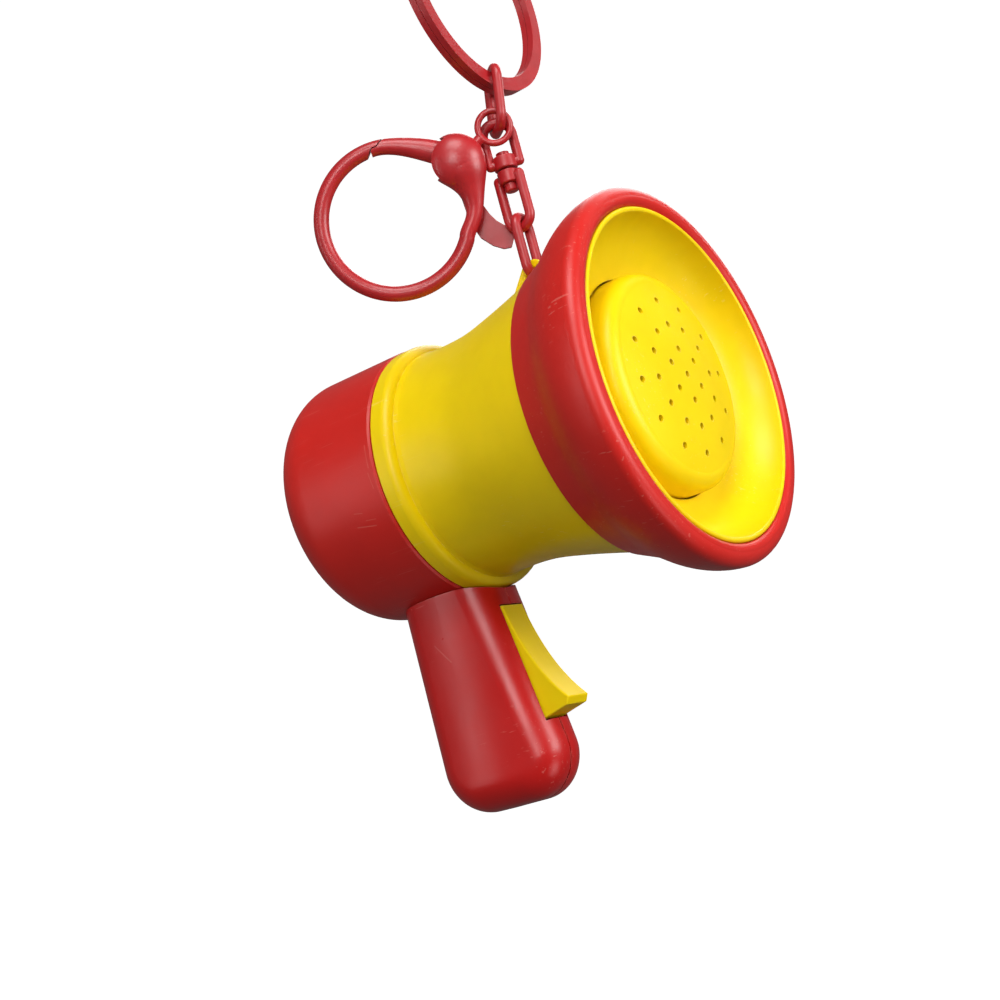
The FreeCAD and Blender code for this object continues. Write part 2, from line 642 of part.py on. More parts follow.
def handle_shell():
    outer = handle_solid(0.0, HANDLE_HALF_WIDTH, HANDLE_ROUND_R)
    hollow = handle_solid(WALL, HANDLE_HALF_WIDTH - WALL, HANDLE_ROUND_R - WALL)
    shell = outer.cut(hollow)
    saddle = tube_x(CUP_REAR_X, -30.0, CUP_R + SEAM)
    shell = shell.cut(saddle)
    roof = box(Vec(-51.8, -6.2, -21.0), Vec(-39.8, 6.2, -14.0)).cut(saddle)
    shell = shell.fuse(roof.common(outer))
    shell = shell.fuse(handle_lugs(0.0).common(tube_x(-52, -41, CUP_R + 1.0)))
    for x, z in HANDLE_SCREWS:
        post = rod(Vec(x, -HANDLE_HALF_WIDTH, z), Y_AXIS, 2 * HANDLE_HALF_WIDTH, SCREW_BOSS_R)
        shell = shell.fuse(post.common(outer))
    pivot = Vec(TRIGGER_PIVOT_X, -HANDLE_HALF_WIDTH, TRIGGER_PIVOT_Z)
    for low, high in ((-7.0, -TRIGGER_HALF_WIDTH - 0.15), (TRIGGER_HALF_WIDTH + 0.15, 7.0)):
        boss = rod(Vec(pivot.x, low, pivot.z), Y_AXIS, high - low, 1.7)
        shell = shell.fuse(boss.common(outer))
    for z in (-26.0, -37.4):
        rib = box(Vec(-47.0, -7, z - 0.5), Vec(-43.4, 7, z + 0.5))
        pocket = box(Vec(-45.65, -3.5, -37.45), Vec(-44.55, 3.5, -25.95))
        shell = shell.fuse(rib.common(outer).cut(pocket))
    slot_half = TRIGGER_HALF_WIDTH + 0.15
    slot = box(Vec(-42.0, -slot_half, TRIGGER_SLOT_BOTTOM_Z), Vec(-28.0, slot_half, TRIGGER_SLOT_TOP_Z))
    slot = slot.common(rod(Vec(pivot.x, -slot_half, pivot.z), Y_AXIS, 2 * slot_half,
                           TRIGGER_SWEEP_R))
    shell = shell.cut(slot)
    pin_hole = rod(Vec(pivot.x, -TRIGGER_PIN_HALF - 0.05, pivot.z), Y_AXIS,
                   2 * TRIGGER_PIN_HALF + 0.1, TRIGGER_PIN_R + 0.02)
    shell = shell.cut(pin_hole)
    wire_way = box(Vec(-44.0, -2.5, -21.5), Vec(-41.0, 2.5, -13.0))
    return shell.cut(wire_way)


def handle_half(side):
    """side is -1 for the left half and 1 for the right half, which takes the screws."""
    shell = handle_shell()
    low = min(side * HANDLE_SEAM / 2, side * 12)
    high = max(side * HANDLE_SEAM / 2, side * 12)
    half = shell.common(box(Vec(-70, low, -60), Vec(-20, high, 0)))
    core = handle_solid(HANDLE_GROOVE_DEPTH, HANDLE_HALF_WIDTH, HANDLE_ROUND_R - HANDLE_GROOVE_DEPTH)
    line = box(Vec(-70, -HANDLE_GROOVE_HALF, -60), Vec(-20, HANDLE_GROOVE_HALF, HANDLE_TOP_Z))
    half = half.cut(line.cut(core))
    for x, z in HANDLE_SCREWS:
        shank_r = SCREW_SHANK_R + (RUNNING if side > 0 else 0.02)
        half = half.cut(rod(Vec(x, -4.6, z), Y_AXIS, 20, shank_r))
        half = half.cut(rod(Vec(x, HANDLE_HEAD_Y - 0.05, z), Y_AXIS, 6, SCREW_HEAD_R + 0.15))
    return half


def handle_screws():
    screws = []
    for x, z in HANDLE_SCREWS:
        shank = rod(Vec(x, -4.4, z), Y_AXIS, HANDLE_HEAD_Y + 4.5, SCREW_SHANK_R)
        screws.append(shank.fuse(pan_head(Vec(x, HANDLE_HEAD_Y, z), SCREW_HEAD_R, 0.9)))
    return screws


# ---------------------------------------------------------------- trigger

def trigger():
    """Finger lever: concave front, pointed lip at the bottom, hub on a pin inside the handle."""
    lip = Vec(-29.75, 0, -35.3)
    heel = Vec(-34.6, 0, -37.3)
    front_top = Vec(-36.5, 0, -20.8)
    hub_top = Vec(TRIGGER_PIVOT_X, 0, TRIGGER_PIVOT_Z + TRIGGER_HUB_R)
    hub_rear = Vec(TRIGGER_PIVOT_X - TRIGGER_HUB_R, 0, TRIGGER_PIVOT_Z)
    bend = TRIGGER_HUB_R * math.sqrt(0.5)
    hub_mid = Vec(TRIGGER_PIVOT_X - bend, 0, TRIGGER_PIVOT_Z + bend)
    edges = polyline([hub_top, front_top])
    edges.append(curve([front_top, Vec(-35.1, 0, -25.9), Vec(-33.3, 0, -30.2), lip]))
    edges += polyline([lip, Vec(-30.3, 0, -36.3), heel, Vec(-37.2, 0, -36.6),
                       Vec(-39.2, 0, -33.6), Vec(-40.1, 0, -33.0), Vec(-40.1, 0, -31.0),
                       Vec(-39.6, 0, -30.4), hub_rear])
    edges.append(arc(hub_rear, hub_mid, hub_top))
    face = face_of(edges)
    face.translate(Vec(0, -TRIGGER_HALF_WIDTH, 0))
    body = face.extrude(Vec(0, 2 * TRIGGER_HALF_WIDTH, 0))
    rims = []
    for edge in body.Edges:
        middle = edge.valueAt((edge.FirstParameter + edge.LastParameter) / 2)
        if middle.x > -36.4:
            rims.append(edge)
    body = body.makeFillet(0.22, rims)
    pivot = Vec(TRIGGER_PIVOT_X, -10, TRIGGER_PIVOT_Z)
    return body.cut(rod(pivot, Y_AXIS, 20, TRIGGER_PIN_R + RUNNING))


def trigger_pin():
    start = Vec(TRIGGER_PIVOT_X, -TRIGGER_PIN_HALF, TRIGGER_PIVOT_Z)
    return rod(start, Y_AXIS, 2 * TRIGGER_PIN_HALF, TRIGGER_PIN_R)


# ---------------------------------------------------------------- chain

def oval_link(half_width, z_low, z_high, radius):
    """Wire link in the XZ plane with half-round ends; z values are wire centres."""
    low, high = z_low + half_width, z_high - half_width
    edges = [
        Part.LineSegment(Vec(half_width, 0, low), Vec(half_width, 0, high)).toShape(),
        arc(Vec(half_width, 0, high), Vec(0, 0, z_high), Vec(-half_width, 0, high)),
        Part.LineSegment(Vec(-half_width, 0, high), Vec(-half_width, 0, low)).toShape(),
        arc(Vec(-half_width, 0, low), Vec(0, 0, z_low), Vec(half_width, 0, low)),
    ]
    return pipe(edges, radius, Vec(half_width, 0, low), Z_AXIS)


def tab_link():
    link = oval_link(TAB_LINK_HALF_WIDTH, TAB_LINK_BOTTOM_Z, TAB_LINK_TOP_Z, WIRE_R)
    link.rotate(Vec(0, 0, 0), Z_AXIS, 90)
    link.translate(Vec(CHAIN_X, 0, 0))
    return link


def swivel_loop(half_width, bar_z, bend_z, hub_r):
    """Half of the swivel: a U of wire, a straight bar across it and a hub for the rivet."""
    way = 1 if bend_z > bar_z else -1
    turn_z = bend_z - way * half_width
    start = Vec(half_width, 0, bar_z)
    edges = [
        Part.LineSegment(start, Vec(half_width, 0, turn_z)).toShape(),
        arc(Vec(half_width, 0, turn_z), Vec(0, 0, bend_z), Vec(-half_width, 0, turn_z)),
        Part.LineSegment(Vec(-half_width, 0, turn_z), Vec(-half_width, 0, bar_z)).toShape(),
    ]
    loop = pipe(edges, WIRE_R, start, Z_AXIS)
    bar = rod(Vec(-half_width, 0, bar_z), X_AXIS, 2 * half_width, WIRE_R)
    hub = rod(Vec(0, 0, bar_z - HUB_HALF_HEIGHT), Z_AXIS, 2 * HUB_HALF_HEIGHT, hub_r)
    hub = hub.makeFillet(0.2, [edge for edge in hub.Edges if edge.Length > 2 * hub_r + 3])
    loop = loop.fuse([bar, hub])
    for side in (-1, 1):
        loop = loop.fuse(Part.makeSphere(WIRE_R, Vec(side * half_width, 0, bar_z)))
    return loop.cut(rod(Vec(0, 0, bar_z - 3), Z_AXIS, 6, RIVET_R + RUNNING))


def swivel_lower():
    loop = swivel_loop(LOWER_HALF_WIDTH, LOWER_BAR_Z, LOWER_LOOP_BOTTOM_Z, LOWER_HUB_R)
    loop.translate(Vec(CHAIN_X, 0, 0))
    return loop


def swivel_upper():
    top = TOP_LINK_BOTTOM_Z + 2 * WIRE_R + LOOP_GAP
    loop = swivel_loop(UPPER_HALF_WIDTH, UPPER_BAR_Z, top, UPPER_HUB_R)
    loop.rotate(Vec(0, 0, 0), Z_AXIS, UPPER_LOOP_TURN)
    loop.translate(Vec(CHAIN_X, 0, 0))
    return loop


def swivel_rivet():
    low = LOWER_BAR_Z - HUB_HALF_HEIGHT - 0.08
    high = UPPER_BAR_Z + HUB_HALF_HEIGHT + 0.02
    shank = rod(Vec(CHAIN_X, 0, low - 0.5), Z_AXIS, high - low + 1.0, RIVET_R)
    lower_head = rod(Vec(CHAIN_X, 0, low - 1.1), Z_AXIS, 1.1, RIVET_HEAD_R)
    lower_head = lower_head.makeFillet(0.3, [lower_head.Edges[2]])
    upper_head = rod(Vec(CHAIN_X, 0, high), Z_AXIS, 0.6, RIVET_HEAD_R)
    return shank.fuse([lower_head, upper_head])


def top_link():
    """Rounded wire link between the key ring and the two loops below it."""
    half, corner = TOP_LINK_HALF_WIDTH, TOP_LINK_CORNER_R
    height = RING_Z - (RING_OUTER_R - RING_BAND) + WIRE_R + LOOP_GAP + 0.2 - TOP_LINK_BOTTOM_Z
    bend = corner * math.sqrt(0.5)
    flat = half - corner
    corners = []
    for turn_x, turn_z in ((flat, height - corner), (-flat, height - corner), (-flat, corner), (flat, corner)):
        side = 1 if turn_x > 0 else -1
        rise = 1 if turn_z > height / 2 else -1
        upright = Vec(turn_x + side * corner, 0, turn_z)
        middle = Vec(turn_x + side * bend, 0, turn_z + rise * bend)
        level = Vec(turn_x, 0, turn_z + rise * corner)
        corners.append((upright, middle, level) if side * rise > 0 else (level, middle, upright))
    edges = []
    for i, points in enumerate(corners):
        edges.append(arc(*points))
        edges += polyline([points[2], corners[(i + 1) % 4][0]])
    link = pipe(edges, WIRE_R, corners[0][0], Z_AXIS)
    link.rotate(Vec(0, 0, 0), Z_AXIS, TOP_LINK_TURN)
    foot = top_link_foot()
    head = Vec(RING_X, 0, foot.z + height)
    link.rotate(Vec(0, 0, 0), Y_AXIS, math.degrees(math.atan2(head.x - foot.x, height)))
    link.rotate(Vec(0, 0, 0), X_AXIS, math.degrees(math.atan2(foot.y, height)))
    link.translate(foot)
    return link


def top_link_foot():
    """Wire centre at the middle of the top link's lower end."""
    turn = math.radians(TOP_LINK_TURN)
    offset = Vec(math.cos(turn), math.sin(turn), 0) * TOP_LINK_SPREAD
    return Vec(CHAIN_X, 0, TOP_LINK_BOTTOM_Z) + offset


def key_ring():
    """Split ring: a flat strip wound almost twice, with a short ramp between the coils."""
    coil = (RING_THICKNESS - RING_COIL_GAP) / 2
    rise = coil + RING_COIL_GAP
    inner = RING_OUTER_R - RING_BAND
    sweep = 360.0 - RING_RAMP_DEG
    strip = face_of(polyline([Vec(inner, 0, 0), Vec(RING_OUTER_R, 0, 0), Vec(RING_OUTER_R, 0, coil),
                              Vec(inner, 0, coil), Vec(inner, 0, 0)]))
    first = strip.revolve(Vec(0, 0, 0), Z_AXIS, sweep)
    second = first.copy()
    second.translate(Vec(0, 0, rise))
    helix = Part.makeHelix(rise * 360.0 / RING_RAMP_DEG, rise, inner)
    ramp = Part.Wire(helix.Edges).makePipeShell([strip.OuterWire], True, True)
    ramp.rotate(Vec(0, 0, 0), Z_AXIS, sweep)
    ring = first.fuse([second, ramp])
    ring.translate(Vec(0, 0, -RING_THICKNESS / 2))
    ring.rotate(Vec(0, 0, 0), Z_AXIS, RING_SPLIT_DEG)
    ring.rotate(Vec(0, 0, 0), Y_AXIS, 90)
    ring.translate(Vec(RING_X, 0, RING_Z))
    return ring


# ---------------------------------------------------------------- spring clasp

def clasp_place(shape):
    """Move a shape from the clasp's flat drawing to where the clasp hangs."""
    shape = shape.copy()
    for axis, angle in ((X_AXIS, 90), (Y_AXIS, CLASP_ROLL), (X_AXIS, CLASP_TILT), (Z_AXIS, CLASP_TURN)):
        shape.rotate(Vec(0, 0, 0), axis, angle)
    shape.translate(CLASP_EYE)
    return shape


def ring_point(degrees):
    """Point on the clasp ring's centre line in the flat drawing."""
    angle = math.radians(degrees)
    return Vec(CLASP_CENTRE[0] + CLASP_RING_R * math.cos(angle),
               CLASP_CENTRE[1] + CLASP_RING_R * math.sin(angle), 0)


def oval_section(at, heading_deg, half_width, half_depth):
    """Ellipse or circle, no deeper than wide, across a path that heads heading_deg."""
    heading = math.radians(heading_deg)
    across = Vec(-math.sin(heading), math.cos(heading), 0)
    if half_width - half_depth < 0.005:
        ring = Part.makeCircle(half_width, at, Vec(math.cos(heading), math.sin(heading), 0))
        return Part.Wire([ring])
    ellipse = Part.Ellipse(at + across * half_width, at + Z_AXIS * half_depth, at)
    return Part.Wire([ellipse.toShape()])


def loft(sections):
    return Part.makeLoft([oval_section(Vec(x, y, 0), heading, width, depth)
                          for x, y, heading, width, depth in sections], True, False)


def flat_plate(points, z_low, z_high):
    """Straight-sided plate in the flat drawing."""
    corners = [Vec(x, y, z_low) for x, y in points]
    return face_of(polyline(corners + corners[:1])).extrude(Vec(0, 0, z_high - z_low))


def tip_gap(side):
    """Everything on one side of the stepped gap: -1 is the ring's side, 1 the gate's."""
    step = [(-14.6, -0.9), (-15.95, -2.85), (-16.65, -3.15), (-17.2, -4.9)]
    shift = side * TIP_GAP / 2
    step = [(x + shift, y - shift * 0.6) for x, y in step]
    far = 14.0 * side
    return flat_plate(step + [(step[-1][0] + far, -5.2), (step[0][0] + far, 0.6)], -3, 3)


def clasp_gate_arm():
    tip = ring_point(110.0)
    return loft([(tip.x, tip.y, 20.0, 1.06, 1.06), (-14.5, -2.72, 2.0, 1.12, 1.08),
                 (-11.0, -2.9, -6.0, 1.4, 1.15), (-8.0, -3.45, -13.0, 1.65, 1.2),
                 (-6.9, -3.75, -16.0, 1.65, 1.2)])


def clasp_lever(grow):
    """Stem and crescent thumb lever behind the arm."""
    outline = [(-6.6, -6.2), (-4.3, -9.4), (-3.2, -12.6), (-1.6, -14.9), (0.1, -15.95),
               (1.6, -16.4), (2.7, -16.2), (3.05, -14.7), (2.75, -13.4), (1.75, -13.2),
               (0.6, -12.55), (-0.35, -11.65), (-1.2, -10.5), (-1.7, -8.9), (-3.0, -6.0)]
    plate = flat_plate(outline, LEVER_BACK_Z - grow, LEVER_FRONT_Z + grow)
    if grow > 0:
        return plate
    uprights = []
    for edge in plate.Edges:
        middle = edge.valueAt((edge.FirstParameter + edge.LastParameter) / 2)
        if LEVER_BACK_Z + 0.1 < middle.z < LEVER_FRONT_Z - 0.1 and middle.y < -8.5:
            uprights.append(edge)
    return plate.makeFillet(0.3, uprights)


def clasp_gate():
    hub = Part.makeCylinder(GATE_HUB_R, -LEVER_BACK_Z, Vec(PIVOT[0], PIVOT[1], LEVER_BACK_Z))
    gate = clasp_gate_arm().common(tip_gap(1))
    bridge = flat_plate([(-7.3, -2.7), (-4.0, -3.2), (-4.6, -5.6), (-7.3, -4.9)], -1.1, -0.05)
    gate = gate.fuse([hub, bridge, clasp_lever(0.0)])
    gate = gate.cut(Part.makeCylinder(PIN_R + RUNNING, 8, Vec(PIVOT[0], PIVOT[1], -5)))
    return clasp_place(gate)


def clasp_cavity():
    """Hollow in the back of the bulb that the gate's hub, arm and lever move in."""
    hub = Part.makeCylinder(GATE_HUB_R + 0.2, 6.2, Vec(PIVOT[0], PIVOT[1], -5.0))
    arm = flat_plate([(-9.5, -1.2), (-6.2, -1.85), (-3.6, -3.2), (-3.6, -6.0), (-6.2, -6.6),
                      (-9.5, -7.2)], -5.0, 1.4)
    sweep = [(-7.3, -5.0), (-5.0, -11.2), (3.5, -11.2), (2.5, -4.9), (-3.6, -3.6)]
    lever = flat_plate(sweep, -5.0, LEVER_FRONT_Z + 0.2)
    return hub.fuse([arm, lever])


def clasp_body():
    start, end = ring_point(90.0), ring_point(-15.0)
    ring = pipe([arc(start, ring_point(217.5), end)], CLASP_WIRE_R, start, Vec(-1, 0, 0))
    below_gap = flat_plate([(-28, -4.9), (2, -4.9), (2, -28), (-28, -28)], -3, 3)
    ring = ring.common(tip_gap(-1).fuse(below_gap))
    bridge = [(end.x, end.y, 75.0, CLASP_WIRE_R, CLASP_WIRE_R), (-3.02, -13.7, 74.0, 1.08, 1.08),
              (-2.5, -12.0, 84.0, 1.12, 1.1),
              (-2.68, -9.6, 98.0, 1.6, 1.45), (-3.3, -7.8, 106.0, 2.5, 2.05),
              (-4.3, -5.8, 116.0, 3.6, 2.65)]
    arm = loft(bridge)
    bulb = Part.makeSphere(1.0)
    scale = FreeCAD.Matrix()
    scale.scale(Vec(BULB_R, BULB_R, BULB_HALF_DEPTH))
    bulb = bulb.transformGeometry(scale)
    bulb.translate(Vec(BULB[0], BULB[1], 0))
    eye = Part.makeTorus(EYE_R, EYE_WIRE_R)
    eye.translate(Vec(EYE_SHIFT, 0, 0))
    toward = Vec(BULB[0], BULB[1], 0)
    toward.normalize()
    neck = rod(toward * (EYE_R + 0.1), toward, 2.2, 0.75)
    open_side = flat_plate([(-9.5, -6.0), (-3.6, -6.0), (-4.2, -9.5), (-9.5, -9.5)], -5.0, 1.4)
    body = bulb.cut(clasp_cavity().fuse(open_side))
    body = body.fuse([arm.cut(clasp_cavity()), ring, eye, neck])
    return clasp_place(body.cut(Part.makeCylinder(PIN_R + 0.02, 7.0, Vec(PIVOT[0], PIVOT[1], -5.0))))


def clasp_pin():
    pin = Part.makeCylinder(PIN_R, 2.0 - LEVER_BACK_Z, Vec(PIVOT[0], PIVOT[1], LEVER_BACK_Z - 0.1))
    head = Part.makeCylinder(1.1, 0.4, Vec(PIVOT[0], PIVOT[1], LEVER_BACK_Z - 0.5))
    return clasp_place(pin.fuse(head))


def clasp_spring():
    return clasp_place(coil(Vec(PIVOT[0], PIVOT[1], 0.2), Z_AXIS, 1.05, 0.18, 0.5, 1.5))


def parts():
    """Every node's name and its solids."""
    return {
        "rear_cup": [rear_cup()],
        "horn_body": [horn_body()],
        "bell_rim": [bell_rim()],
        "horn_liner": [horn_liner()],
        "speaker_grille": [speaker_grille()],
        "speaker_frame": [speaker_frame()],
        "speaker_cone": [speaker_cone()],
        "speaker_magnet": [speaker_magnet()],
        "speaker_ring": [speaker_ring()],
        "battery_holder": [battery_holder()],
        "battery_door": [battery_door()],
        "battery_door_screw": [door_screw()],
        "button_cells": button_cells(),
        "contact_spring": [contact_spring()],
        "contact_plate": [contact_plate()],
        "circuit_board": [circuit_board()],
        "board_screws": board_screws(),
        "sound_chip": [sound_chip()],
        "microphone": [microphone()],
        "switch_board": [switch_board()],
        "trigger_switch": [trigger_switch()],
        "switch_plunger": [switch_plunger()],
        "speaker_wires": speaker_wires(),
        "battery_wires": battery_wires(),
        "switch_wires": switch_wires(),
        "microphone_leads": microphone_leads(),
        "handle_left": [handle_half(-1)],
        "handle_right": [handle_half(1)],
        "handle_screws": handle_screws(),
        "trigger": [trigger()],
        "trigger_pin": [trigger_pin()],
        "tab_link": [tab_link()],
        "swivel_lower": [swivel_lower()],
        "swivel_upper": [swivel_upper()],
        "swivel_rivet": [swivel_rivet()],
        "top_link": [top_link()],
        "key_ring": [key_ring()],
        "clasp_body": [clasp_body()],
        "clasp_gate": [clasp_gate()],
        "clasp_pin": [clasp_pin()],
        "clasp_spring": [clasp_spring()],
    }


def main():
    os.makedirs("parts", exist_ok=True)
    for node, solids in parts().items():
        export(node, *solids)


main()
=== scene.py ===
"""A toy megaphone on a key chain, dressed for the camera: finishes, floor, lights and camera."""
import json
import math

import bmesh
import bpy
from mathutils import Matrix, Vector


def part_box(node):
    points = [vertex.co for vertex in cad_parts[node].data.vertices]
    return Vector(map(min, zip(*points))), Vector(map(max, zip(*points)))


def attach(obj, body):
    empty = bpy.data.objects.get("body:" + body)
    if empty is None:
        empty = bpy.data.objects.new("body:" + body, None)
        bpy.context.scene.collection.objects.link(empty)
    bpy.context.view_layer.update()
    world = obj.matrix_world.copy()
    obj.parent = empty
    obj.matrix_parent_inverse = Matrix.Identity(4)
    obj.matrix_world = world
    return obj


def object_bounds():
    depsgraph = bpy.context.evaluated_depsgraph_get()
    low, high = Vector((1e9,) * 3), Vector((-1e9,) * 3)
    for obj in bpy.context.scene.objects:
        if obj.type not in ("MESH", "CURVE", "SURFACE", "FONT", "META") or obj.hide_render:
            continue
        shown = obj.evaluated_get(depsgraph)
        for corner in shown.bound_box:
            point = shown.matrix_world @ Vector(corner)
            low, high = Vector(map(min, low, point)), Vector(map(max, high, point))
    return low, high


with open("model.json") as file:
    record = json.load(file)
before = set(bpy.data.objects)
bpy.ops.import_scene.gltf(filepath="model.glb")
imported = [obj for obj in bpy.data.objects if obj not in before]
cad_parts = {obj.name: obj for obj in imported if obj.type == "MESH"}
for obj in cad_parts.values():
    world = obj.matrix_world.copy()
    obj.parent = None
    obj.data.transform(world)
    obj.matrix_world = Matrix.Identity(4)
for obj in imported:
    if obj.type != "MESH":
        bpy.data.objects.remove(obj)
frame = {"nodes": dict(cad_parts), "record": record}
CAD_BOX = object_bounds()

# Colours, linear
RED = (0.58, 0.012, 0.007)
# The grip is the same red plastic as RED, darkened: painted shade
SHADED_GRIP_RED = (0.48, 0.006, 0.005)
YELLOW = (0.88, 0.632, 0.0)
PAINT_RED = (0.43, 0.010, 0.014)
STEEL = (0.60, 0.60, 0.61)
NICKEL = (0.66, 0.64, 0.60)

# Sizes in metres
EDGE_WEAR = 0.0002          # how far wear spreads from an edge
MOULDED_EDGE_WEAR = 0.00025
LIP_ROUND = 0.00015         # the camera's mark is this far behind the lip's foremost point


# ---------------------------------------------------------------- material nodes

class Sheet:
    """A material's node tree, with one call for each kind of node that the finishes use."""

    def __init__(self, name):
        self.material = bpy.data.materials.new(name)
        self.material.use_nodes = True
        self.tree = self.material.node_tree
        self.shader = self.tree.nodes["Principled BSDF"]
        self.point = self.node("ShaderNodeTexCoord").outputs["Object"]

    def node(self, kind, **settings):
        made = self.tree.nodes.new(kind)
        for key, value in settings.items():
            setattr(made, key, value)
        return made

    def feed(self, socket, value):
        if isinstance(value, bpy.types.NodeSocket):
            self.tree.links.new(value, socket)
        else:
            socket.default_value = value

    def math(self, operation, first, second=0.0, clamp=False):
        made = self.node("ShaderNodeMath", operation=operation, use_clamp=clamp)
        self.feed(made.inputs[0], first)
        self.feed(made.inputs[1], second)
        return made.outputs[0]

    def vector(self, operation, first, second=(0, 0, 0)):
        made = self.node("ShaderNodeVectorMath", operation=operation)
        self.feed(made.inputs[0], first)
        self.feed(made.inputs[1], second)
        return made

    def stretched(self, scale, turn=(0, 0, 0)):
        made = self.node("ShaderNodeMapping")
        self.feed(made.inputs["Vector"], self.point)
        made.inputs["Rotation"].default_value = turn
        made.inputs["Scale"].default_value = scale
        return made.outputs[0]

    def noise(self, scale, detail=3.0, roughness=0.5, at=None):
        made = self.node("ShaderNodeTexNoise")
        self.feed(made.inputs["Vector"], self.point if at is None else at)
        made.inputs["Scale"].default_value = scale
        made.inputs["Detail"].default_value = detail
        made.inputs["Roughness"].default_value = roughness
        return made.outputs["Fac"]

    def ramp(self, value, low, high, to_low=0.0, to_high=1.0):
        made = self.node("ShaderNodeMapRange", clamp=True)
        self.feed(made.inputs["Value"], value)
        for key, number in (("From Min", low), ("From Max", high),
                            ("To Min", to_low), ("To Max", to_high)):
            made.inputs[key].default_value = number
        return made.outputs["Result"]

    def mix(self, factor, first, second):
        made = self.node("ShaderNodeMix", data_type="RGBA")
        self.feed(made.inputs["Factor"], factor)
        for socket, value in ((made.inputs["A"], first), (made.inputs["B"], second)):
            self.feed(socket, value if isinstance(value, bpy.types.NodeSocket) else (*value, 1.0))
        return made.outputs["Result"]

    def edges(self, radius):
        """1 on sharp edges and 0 on open faces, for wear within radius of an edge."""
        bevel = self.node("ShaderNodeBevel", samples=4)
        bevel.inputs["Radius"].default_value = radius
        normal = self.node("ShaderNodeNewGeometry").outputs["Normal"]
        along = self.vector("DOT_PRODUCT", bevel.outputs[0], normal).outputs["Value"]
        return self.ramp(along, 0.985, 0.86)

    def scratches(self, scale, turn, amount):
        """Sparse hair lines: stretched noise cut to its highest crests, in patches."""
        lines = self.noise(1.0, 2.0, 0.5, self.stretched((scale * 0.03, scale, scale), turn))
        thin = self.ramp(lines, 0.70 - amount, 0.72 - amount)
        patches = self.ramp(self.noise(90.0, 1.0), 0.48, 0.62)
        return self.math("MULTIPLY", thin, patches)

    def stroke(self, start, end, width):
        """1 along a straight mark between two points, fading at its sides."""
        start, end = Vector(start), Vector(end)
        span = end - start
        offset = self.vector("SUBTRACT", self.point, start).outputs[0]
        along = self.vector("DOT_PRODUCT", offset, span / span.length_squared).outputs["Value"]
        along = self.math("ADD", along, 0.0, clamp=True)
        nearest = self.vector("MULTIPLY", span)
        copy = self.node("ShaderNodeCombineXYZ")
        for socket in copy.inputs:
            self.feed(socket, along)
        self.feed(nearest.inputs[1], copy.outputs[0])
        gap = self.vector("DISTANCE", offset, nearest.outputs[0]).outputs["Value"]
        return self.ramp(gap, width, width * 0.3)

    def bump(self, height, strength, distance):
        made = self.node("ShaderNodeBump")
        made.inputs["Strength"].default_value = strength
        made.inputs["Distance"].default_value = distance
        self.feed(made.inputs["Height"], height)
        self.feed(self.shader.inputs["Normal"], made.outputs[0])

    def plain(self, **values):
        """Numbers that are the same all over, set on the shader's own sockets."""
        for key, value in values.items():
            self.shader.inputs[key.replace("_", " ")].default_value = value


def moulded(name, colour, pale, rough, scuffs_and_glints=(), glow=0.0, shine=0.5):
    """Satin moulded plastic: flow clouding, spark texture, hair scratches, listed pale strokes
    (scuffs, and on the cup a painted glint) and rubbed edges.
    """
    sheet = Sheet(name)
    clouds = sheet.ramp(sheet.noise(55.0, 4.0, 0.6), 0.3, 0.7)
    grain = sheet.noise(5200.0, 2.0, 0.6)
    waves = sheet.noise(420.0, 2.0, 0.5)
    lines = sheet.math("MAXIMUM", sheet.scratches(2600.0, (0.4, 0.9, 0.3), 0.015),
                       sheet.scratches(2100.0, (1.2, 0.2, 1.9), 0.012))
    # Listed strokes: scuffs, and on the cup also a painted glint along its front edge
    for start, end, width in scuffs_and_glints:
        lines = sheet.math("MAXIMUM", lines, sheet.stroke(start, end, width))
    worn = sheet.math("MULTIPLY", sheet.edges(MOULDED_EDGE_WEAR),
                      sheet.ramp(sheet.noise(700.0, 3.0), 0.42, 0.6))
    dark = tuple(part * 0.86 for part in colour)
    tone = sheet.mix(clouds, dark, colour)
    tone = sheet.mix(sheet.math("MULTIPLY", worn, 0.35), tone, pale)
    # Hair scratches and listed strokes painted pale; two of the cup's strokes are a painted glint
    tone = sheet.mix(sheet.math("MULTIPLY", lines, 0.30), tone, pale)
    sheet.feed(sheet.shader.inputs["Base Color"], tone)
    satin = sheet.ramp(sheet.noise(160.0, 4.0, 0.6), 0.25, 0.75, rough - 0.05, rough + 0.05)
    satin = sheet.math("ADD", satin, sheet.math("MULTIPLY", lines, 0.15))
    satin = sheet.math("ADD", satin, sheet.math("MULTIPLY", worn, -0.08))
    sheet.feed(sheet.shader.inputs["Roughness"], satin)
    height = sheet.math("ADD", sheet.math("MULTIPLY", grain, 0.35),
                        sheet.math("MULTIPLY", waves, 0.9))
    height = sheet.math("SUBTRACT", height, sheet.math("MULTIPLY", lines, 0.8))
    sheet.bump(height, 0.35, 0.00003)
    sheet.plain(IOR=1.46, Specular_IOR_Level=shine, Subsurface_Weight=glow, Subsurface_Scale=0.001)
    spread = (1.0, 0.6, 0.15) if glow else (1.0, 0.2, 0.1)
    sheet.shader.inputs["Subsurface Radius"].default_value = spread
    return sheet.material


